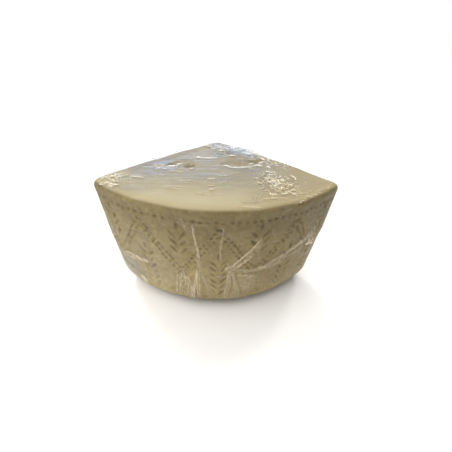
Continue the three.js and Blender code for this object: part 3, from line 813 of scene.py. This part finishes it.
class Ridges:
    """Fine ridges that lie on the film's surface, each closed underneath."""

    def __init__(self, film):
        corners = [v.co for v in film.data.vertices]
        faces = [tuple(face.vertices) for face in film.data.polygons]
        self.surface = BVHTree.FromPolygons(corners, faces)
        self.verts, self.faces, self.marks = [], [], {}

    def add(self, place, flat, half_widths, heights, white, grey=0):
        """One ridge along places on a face, left out where the film doesn't reach."""
        lying = [self.surface.find_nearest(Vector((np.array(place(*p)) + SHIFT) * MM)) for p in flat]
        if max(hit[3] for hit in lying) > RIDGE_REACH * MM:
            return
        points = np.array([hit[0] for hit in lying]) / MM
        normals = np.array([hit[1] for hit in lying])
        aside = np.cross(unit(np.gradient(points, axis=0)), normals) * half_widths[:, None]
        upwards = normals * heights[:, None]
        corners = np.stack([points + aside * across + upwards * up for across, up in PLEAT_SECTION], 1)
        section = len(PLEAT_SECTION)
        near_end = len(self.verts) + np.arange(section)
        far_end = near_end + (len(flat) - 1) * section
        self.faces += (len(self.verts) + tube(len(flat), section)).tolist()
        self.faces += [near_end[::-1].tolist(), far_end.tolist()]
        self.verts += (corners.reshape(-1, 3) * MM).tolist()
        u, v = np.array(flat).T
        on_top = float(place is top_place)
        # White paints milky film, and glints where it is high; frost and haze are partly painted sky
        # reflections, and grey ridges take the haze colour as painted shade
        by_row = {
            "white": white,
            "frost_reflection": spots(u, v, 0.65 * on_top * (1 - grey), TOP_FROST_REFLECTION),
            "haze_and_reflection": grey,
            "cool": on_top * smooth(-112, -80, v),
            "edge": 0.8 * (1 - on_top),
        }
        for key, values in by_row.items():
            by_corner = np.repeat(np.broadcast_to(values, len(flat)), section)
            self.marks.setdefault(key, []).extend(by_corner.tolist())

    def add_pleats(self, place, pleats, grey=0):
        t = np.linspace(0, 1, PLEAT_STEPS)
        fade = smooth(0, 0.1, t) * (1 - 0.8 * smooth(0.82, 1, t))
        for pleat, seed, number, flat in strands(pleats, PLEAT_STEPS):
            strength = 0.75 + 0.25 * sin(seed * 5 + number * 2.3)
            body = np.sin(pi * t) ** 0.35 * (1 + 0.18 * np.sin(t * 23 + number * 2.1 + seed))
            white = pleat.white * strength * fade * (0.82 + 0.18 * np.sin(t * 17 + number + seed * 3))
            self.add(place, flat, pleat.width * body, pleat.rise * strength * body, white, grey)

    def add_lace(self, place, zones):
        t = np.linspace(0, 1, LACE_STEPS)
        for seed, (*zone, white) in enumerate(zones):
            for flat, strength in lace_strokes(seed, *zone):
                body = strength * np.sin(pi * np.clip(t, 0.04, 0.96)) ** 0.5
                self.add(place, flat, LACE_WIDTH * body, LACE_RISE * body, white * body)


def pleat_piece(film):
    """Every strand and crease of the film as a fine ridge on its surface."""
    ridges = Ridges(film)
    ridges.add_pleats(rind_place, RIND_PLEATS)
    ridges.add_pleats(top_place, TOP_PLEATS)
    # Grey ridges of bunched film, painted shade
    ridges.add_pleats(top_place, TOP_GREYS, 1)
    ridges.add_pleats(cut_place, CUT_PLEATS)
    ridges.add_lace(rind_place, RIND_SPARKLE_LACE)
    ridges.add_lace(top_place, TOP_SPARKLE_LACE)
    return link_mesh("film_pleats", ridges.verts, ridges.faces, film.data.materials[0], ridges.marks)


def loft_piece(name, loft, material, attributes):
    """The loft as a smooth closed mesh with a pole at each end."""
    rows, columns = loft.x.shape
    poles = [(0, MIDDLE_Y, loft.z[end].mean()) for end in (0, -1)]
    verts = (np.concatenate([loft.points.reshape(-1, 3), poles]) + SHIFT) * MM
    faces = tube(rows, columns)[:, [0, 3, 2, 1]].tolist()
    pole, last = rows * columns, (rows - 1) * columns
    around = [(i, (i + 1) % columns) for i in range(columns)]
    faces += [(pole, a, b) for a, b in around]
    faces += [(pole + 1, last + b, last + a) for a, b in around]
    by_corner = {
        key: np.concatenate([values.ravel(), [values[0].mean(), values[-1].mean()]])
        for key, values in attributes.items()
    }
    return link_mesh(name, verts.tolist(), faces, material, by_corner)


class Nodes:
    """The nodes of a material or world, built from sockets."""

    def __init__(self, owner):
        owner.use_nodes = True
        self.owner = owner
        self.tree = owner.node_tree
        self.tree.nodes.clear()
        self.place = self.add("TexCoord").outputs["Object"]

    def plug(self, sockets, *values):
        """Gives each input a constant or another's output."""
        for socket, value in zip(sockets, values):
            if isinstance(value, bpy.types.NodeSocket):
                self.tree.links.new(value, socket)
            else:
                socket.default_value = (*value, 1) if socket.type == "RGBA" else value

    def add(self, kind, settings=(), values=(), **inputs):
        """A node with its settings, and with inputs given in order or by name."""
        node = self.tree.nodes.new("ShaderNode" + kind)
        for key, value in dict(settings).items():
            setattr(node, key, value)
        self.plug(node.inputs, *values)
        self.plug([node.inputs[key.replace("_", " ")] for key in inputs], *inputs.values())
        return node

    def maths(self, operation, *values):
        return self.add("Math", {"operation": operation}, values).outputs[0]

    def times(self, first, second):
        return self.maths("MULTIPLY", first, second)

    def plus(self, first, second):
        return self.maths("ADD", first, second)

    def field(self, name):
        return self.add("Attribute", {"attribute_name": name}).outputs["Fac"]

    def noise(self, scale, detail=3, stretch=(1, 1, 1)):
        """Noise that follows the piece's own coordinates."""
        place = self.add("Mapping", Vector=self.place, Scale=stretch).outputs[0]
        return self.add("TexNoise", Vector=place, Scale=scale, Detail=detail).outputs["Fac"]

    def creases(self, scale):
        """Thin meandering lines, as where film is crumpled: 1 on a line, 0 away from it."""
        middle, width = 0.5, 0.035
        aside = self.maths("ABSOLUTE", self.maths("SUBTRACT", self.noise(scale, 1), middle))
        return self.ramp(aside, 0, width, 1, 0)

    def ramp(self, *values):
        """A value, then the range it has and the one it gets, or 0 to 1, blended smoothly."""
        return self.add("MapRange", {"interpolation_type": "SMOOTHSTEP"}, values).outputs[0]

    def tint(self, share, first, second, blend="MIX"):
        """A colour laid over another, as far as the share says."""
        node = self.add("Mix", {"data_type": "RGBA", "blend_type": blend}, [share])
        self.plug([s for s in node.inputs if s.type == "RGBA"], first, second)
        return [s for s in node.outputs if s.type == "RGBA"][0]

    def multiply(self, share, first, second):
        return self.tint(share, first, second, "MULTIPLY")

    def bump(self, height, distance, strength, **normal):
        return self.add("Bump", Height=height, Distance=distance, Strength=strength, **normal).outputs[0]

    def blend(self, *values):
        return self.add("MixShader", (), values).outputs[0]

    def finish(self, surface):
        self.add("OutputMaterial", Surface=surface)
        return self.owner


def cheese_material():
    s = Nodes(bpy.data.materials.new("cheese"))
    mottle = s.noise(45, 5)
    crust = s.tint(mottle, *CRUST)
    for scale, detail, low, high, share, colour, blend in SPECKLES:
        speckle = s.ramp(s.noise(scale, detail), low, high, 0, share)
        crust = s.tint(speckle, crust, colour, blend)
    # Crust tone from the grain, with painted shade in pits and painted light on knobs and rims
    crust = s.multiply(1, crust, s.tint(s.field("relief"), *CRUST_TONE_AND_SHADE))
    # Painted shade under the top edge and painted light towards the foot
    crust = s.multiply(1, crust, s.tint(s.field("low"), *CRUST_PAINTED_LIGHT_BY_HEIGHT))
    # Painted shade and light over the rind
    crust = s.multiply(s.field("shade"), crust, CRUST_PAINTED_SHADE)

    # Painted shade on the top's paste
    paste = s.multiply(s.field("painted_top_shade"), s.tint(mottle, *PASTE), PASTE_PAINTED_SHADE)
    # Painted light on the cut faces' paste
    paste = s.multiply(s.field("side"), paste, PASTE_CUT_PAINTED_LIGHT)
    paste = s.tint(s.times(s.field("band"), 0.6), paste, PASTE_BAND)

    base = s.tint(s.field("rind"), paste, crust)
    # Painted shade in marks, chips, pits and gaps and a painted contact shadow along the foot, with some
    # oil in the marks
    colour = s.multiply(s.field("painted_shade_and_oil"), base, SHADE_AND_OIL_TINT)
    fine = s.bump(s.noise(600, 4), 0.0005, 0.5)
    broken = s.bump(s.noise(330, 5), 0.0016, s.field("crumb"), Normal=fine)
    shader = s.add("BsdfPrincipled", Base_Color=colour, Roughness=0.6, Normal=broken,
                   Subsurface_Weight=0.12, Subsurface_Radius=(1, 0.65, 0.3), Subsurface_Scale=0.004)
    return s.finish(shader.outputs[0])


def film_material():
    """Clear film that turns cloudy where it is white, hazy or frosty. Its whitest places are painted
    glints, and its hazy grey and frosty blue are partly painted reflections of the sky.
    """
    s = Nodes(bpy.data.materials.new("cling_film"))
    white, haze_and_reflection, edge = s.field("white"), s.field("haze_and_reflection"), s.field("edge")
    crinkle = s.field("crinkle")
    # Fine crumple lines, painted white as glints where the film is crinkled
    lace = s.plus(s.creases(150), s.creases(300))
    painted_glint_lines = s.times(s.times(crinkle, lace), 0.5)
    soft = s.bump(s.noise(60, 3, (0.25, 3, 1.5)), 0.0014, 0.5)
    crumple = s.bump(s.plus(lace, s.noise(420, 2)), 0.0008, crinkle, Normal=soft)

    clear = s.add("BsdfTransparent", Color=FILM_CLEAR).outputs[0]
    rough = s.maths("MULTIPLY_ADD", edge, 0.35, 0.12)
    gloss = s.add("BsdfGlossy", Color=(1, 1, 1), Roughness=rough, Normal=crumple).outputs[0]
    facing = s.add("LayerWeight", Blend=0.5, Normal=crumple).outputs["Facing"]
    shine = s.maths("MULTIPLY_ADD", s.maths("POWER", facing, 5), 0.1, 0.022)
    shine = s.times(shine, s.maths("MULTIPLY_ADD", edge, -0.85, 1))
    skin = s.blend(shine, clear, gloss)

    threads = s.ramp(s.noise(170, 4, (0.12, 2, 1)), 0.38, 0.66, -0.45, 0.45)
    streaky = s.ramp(s.noise(260, 3, (0.1, 2.2, 1)), 0.52, 0.72, 0, 0.09)
    veil = s.plus(s.times(white, s.maths("MULTIPLY_ADD", haze_and_reflection, threads, 1)), streaky)
    veil = s.maths("MINIMUM", s.plus(veil, painted_glint_lines), 0.95)
    # Milky cream, going to the near white of painted glints where white is highest
    pale = s.tint(s.ramp(s.plus(white, painted_glint_lines), 0.45, 1.3), *FILM_MILKY_TO_GLINT)
    pale = s.tint(s.field("cool"), pale, FILM_COOL)
    # Misty grey, partly a painted reflection of the sky, and on grey ridges painted shade
    colour = s.tint(s.times(haze_and_reflection, s.maths("SUBTRACT", 1, painted_glint_lines)), pale, FILM_MIST_AND_REFLECTION)
    folded = s.ramp(s.noise(210, 3, (0.5, 1.5, 1)), 0.4, 0.6)
    # Frosty blue, partly a painted reflection of the sky
    colour = s.tint(s.field("frost_reflection"), colour, s.tint(folded, *FILM_FROST_REFLECTION))
    cloudy = s.add("BsdfPrincipled", Base_Color=colour, Roughness=0.22, Normal=crumple).outputs[0]
    return s.finish(s.blend(veil, skin, cloudy))


def cheese_piece():
    loft = Loft(CHEESE_COLUMNS)
    grain = {key: fractal(loft.points * stretch, *kind) for key, (stretch, *kind) in GRAIN.items()}
    grain["pits"] = smooth(0.35, 0.75, grain["fine"])
    marks, rims = mark_depths(loft.arc, loft.z)
    marks = marks * loft.rind
    grain["rims"] = rims * loft.rind
    chips = chip_depths(loft.x, loft.y, weighted(grain, CHIP_GRAIN)) * smooth(0.5, 1, loft.top)
    rise = MARK_RIM * grain["rims"] - MARK_DEPTH * marks - chips
    for face, amounts in ((loft.rind, RIND_GRAIN), (loft.cut, CUT_GRAIN), (loft.top, TOP_GRAIN)):
        rise += face * weighted(grain, amounts)
    loft.push(rise, FILM_GAP)

    away = np.hypot(loft.x, loft.y)
    fields = {"x": loft.x, "z": loft.z, "arc": loft.arc, "away": away}
    # Painted shadows between the gathered film strands
    gap_shadows = np.zeros_like(loft.x)
    add_pleats(np.zeros_like(loft.x), gap_shadows, *loft.on["rind"], RIND_GAP_SHADOWS)
    # Painted shade in marks, chips and pits, with some oil in the marks, a painted contact shadow along
    # the foot and painted shadows in the gaps
    painted_shade_and_oil = 0.9 * marks + 0.75 * smooth(0.6, 3.2, chips) + 0.7 * smooth(19, 9, loft.z) + gap_shadows
    painted_shade_and_oil += 0.25 * grain["pits"] * (loft.rind | loft.cut)
    # Painted shade on the top: towards the back, towards the right and in duller places
    painted_top_shade = [tone(fields, TOP_INWARD_PAINTED_SHADE), tone(fields, TOP_RIGHT_PAINTED_SHADE), spots(loft.x, loft.y, 1, TOP_PAINTED_SHADES)]
    under_rind = smooth(0, 7, np.minimum(WHEEL_RADIUS - 4 - away, loft.z))
    return loft_piece("cheese_wedge", loft, cheese_material(), {
        "rind": loft.rindness * smooth(1, 0.6, loft.top),
        # painted shade and oil
        "painted_shade_and_oil": np.clip(painted_shade_and_oil, 0, 1),
        "band": (1 - under_rind) * mix(1, 1.6, loft.cut) * (1 - loft.rind),
        # painted light on the cut faces
        "side": (1 - loft.rindness) * (1 - loft.top),
        # painted shade and light by height
        "low": smooth(HEIGHT, 0, loft.z),
        # painted shade and light over the rind
        "shade": np.clip(tone(fields, RIND_PAINTED_SHADE), 0, 1),
        # painted shade on the top
        "painted_top_shade": loft.top * strongest(*painted_top_shade),
        # grain tone with painted shade and light
        "relief": np.clip(0.5 + weighted(grain, GRAIN_TONE_AND_SHADE), 0, 1),
        "crumb": np.clip(loft.cut * 0.5 + smooth(0.3, 1.5, chips) + 0.12, 0, 1),
    })


def film_rise(loft, crinkle, broken):
    """How far the film stands off the cheese, apart from its pleats."""
    crumpled = crinkle > 0.02
    creases = np.zeros_like(loft.x)
    creases[crumpled] = crumple_height(loft.points[crumpled], 7)
    rise = 0.9 * crinkle * creases + FILM_WAVE * (1 + fractal(loft.points, 34, 2, 11))
    along = np.clip(np.abs(loft.along_cut) / WHEEL_RADIUS, 0, 1)
    slack = CUT_SLACK * np.sin(pi * along) * smooth(0.12, 0, loft.rindness)
    slack *= smooth(0, 40, loft.z) * mix(0.6, 1, smooth(HEIGHT, HEIGHT - 40, loft.z))
    ring_share = np.ones(len(loft.x))
    ring_share[:TOP_ROWS] = np.linspace(0, 1, TOP_ROWS)
    rise += slack * np.where(loft.top > 0.5, smooth(0.8, 1, ring_share[:, None]), 1)
    rise += spots(loft.arc, loft.z, smooth(0, 1, loft.rindness) * loft.side, RIND_BULGES)
    return rise - 0.5 * broken


def film_piece():
    loft = Loft(FILM_COLUMNS)
    pleat_rise, white = np.zeros((2, *loft.x.shape))
    for face, pleats in (("rind", RIND_PLEATS), ("top", TOP_PLEATS), ("cut", CUT_PLEATS)):
        add_pleats(pleat_rise, white, *loft.on[face], pleats)
    for face, bands in (("rind", RIND_BANDS), ("cut", CUT_BANDS)):
        add_bands(white, *loft.on[face], bands)

    away = np.hypot(loft.x, loft.y)
    outer = smooth(0, 0.3, loft.top) * smooth(WHEEL_RADIUS - 18, WHEEL_RADIUS - 8, away)
    crumples = spots(*loft.on["top"], TOP_CRUMPLES), spots(*loft.on["rind"], RIND_CRUMPLES)
    crinkle = strongest(*crumples, 0.35 * loft.cut, 0.12 * outer)
    broken = spots(*loft.on["top"], TOP_CHIPS)
    patchy = 0.75 + 0.5 * fractal(loft.points * (0.35, 1, 1), 9, 3, 5)
    # Misty grey clouds, partly a painted reflection of the sky
    cloud = spots(*loft.on["top"], TOP_CLOUDS) * np.clip(patchy, 0.2, 1.4)
    cloud *= 1 - 0.92 * smooth(0.4, 1.6, broken)
    cloud = np.maximum(cloud, spots(*loft.on["rind"], RIND_HAZE_REFLECTION) * np.clip(patchy, 0.6, 1.3))
    white = np.maximum(white, spots(*loft.on["rind"], RIND_CLOUDS) * np.clip(patchy, 0.5, 1.2))
    loft.push(FILM_GAP + pleat_rise + film_rise(loft, crinkle, broken), 0)

    # Bluish white of bunched film, partly a painted reflection of the sky
    rind_frost_reflection = spots(loft.arc, loft.z, loft.rindness > 0.3, RIND_FROST_REFLECTION)
    frost_reflection = strongest(rind_frost_reflection, spots(*loft.on["top"], TOP_FROST_REFLECTION), spots(*loft.on["cut"], CUT_FROST_REFLECTION))
    frost_reflection *= np.clip(patchy, 0.2, 1.4)
    clouded = np.maximum(cloud, 0.8 * frost_reflection)
    return loft_piece("cling_film", loft, film_material(), {
        # White paints milky film and, at its highest, glints; haze and frost are partly painted sky
        # reflections
        "white": np.clip(clouded + white * (1 - clouded), 0, 0.9),
        "haze_and_reflection": np.clip(cloud / np.maximum(cloud + white, 1e-6), 0, 1),
        "frost_reflection": np.clip(frost_reflection * 1.6, 0, 1),
        "edge": np.maximum(outer, 0.7 * loft.rindness * (1 - loft.top)),
        "crinkle": crinkle,
    })


def place_camera():
    turn, down, roll = (radians(a) for a in CAMERA_ANGLES)
    camera = bpy.data.cameras.new("camera")
    camera.lens = camera.sensor_width * LENS_PIXELS / VIEW_PIXELS
    camera.clip_start, camera.clip_end = CAMERA_CLIP
    holder = link("camera", camera)
    aim = Matrix.Rotation(-turn, 4, "Z") @ Matrix.Rotation(pi / 2 - down, 4, "X")
    place = Matrix.Translation((np.array(EYE) + SHIFT) * MM)
    holder.matrix_world = place @ aim @ Matrix.Rotation(roll, 4, "Z")
    bpy.context.scene.camera = holder


def place_lights():
    for name, (azimuth, elevation, width, strength, colour) in SUNS.items():
        light = bpy.data.lights.new(name, "SUN")
        light.energy = strength
        light.angle = radians(width)
        light.color = colour
        link(name, light).rotation_euler = radians(90 - elevation), 0, radians(180 - azimuth)
    for name, (place, target, size, power, colour) in SOFT_BOXES.items():
        light = bpy.data.lights.new(name, "AREA")
        light.shape = "RECTANGLE"
        light.size, light.size_y = size
        light.energy = power
        light.color = colour
        holder = link(name, light)
        aim = (Vector(target) - Vector(place)).to_track_quat("-Z", "Y")
        holder.matrix_world = Matrix.LocRotScale(place, aim, None)
        holder.visible_camera = False


def make_stage():
    """A pale floor and a plain world that is brighter to the camera and in gloss than as a light."""
    s = Nodes(bpy.data.materials.new("floor"))
    white = s.add("BsdfPrincipled", Base_Color=(0.95, 0.95, 0.95), Roughness=0.9)
    corners = [(x * FLOOR_HALF, y * FLOOR_HALF, 0) for x, y in ((-1, -1), (1, -1), (1, 1), (-1, 1))]
    floor = link_mesh("floor", corners, [(0, 1, 2, 3)], s.finish(white.outputs[0]))

    world = bpy.data.worlds.new("world")
    bpy.context.scene.world = world
    w = Nodes(world)
    path = w.add("LightPath").outputs
    strength = w.maths("MULTIPLY_ADD", path["Is Camera Ray"], WORLD_MORE_TO_CAMERA, WORLD_LIGHT)
    strength = w.maths("MULTIPLY_ADD", path["Is Glossy Ray"], WORLD_MORE_TO_GLOSS, strength)
    background = w.add("Background", Color=(1, 1, 1), Strength=strength)
    w.add("OutputWorld", Surface=background.outputs[0])
    bpy.context.scene.view_settings.view_transform = "Standard"


def frame_shift():
    """From the wedge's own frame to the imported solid's, in millimetres."""
    low, high = (np.array(corner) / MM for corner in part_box(NODE))
    xy = outline(HEIGHT - TOP_ROUND, ROUGH_COLUMNS)[:, :2]
    middle = (xy.min(0) + xy.max(0)) / 2
    centre = (low + high) / 2
    return np.array([centre[0] - middle[0], centre[1] - middle[1], low[2]])


TOP_PLEATS += tuple((np.cumsum(np.reshape(steps, (-1, 2)), 0), *GLINT) for steps in TOP_GLINTS)
TOP_GREYS = tuple((route, *CREASE) for route in TOP_CREASES) + TOP_EDGES
SHIFT = frame_shift()
cheese = cheese_piece()
film = film_piece()
pleats = pleat_piece(film)
for piece, slot_name in ((cheese, "cheese"), (film, "cling_film"), (pleats, "cling_film")):
    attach(piece, "root")
    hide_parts(NODE)
place_camera()
make_stage()
place_lights()
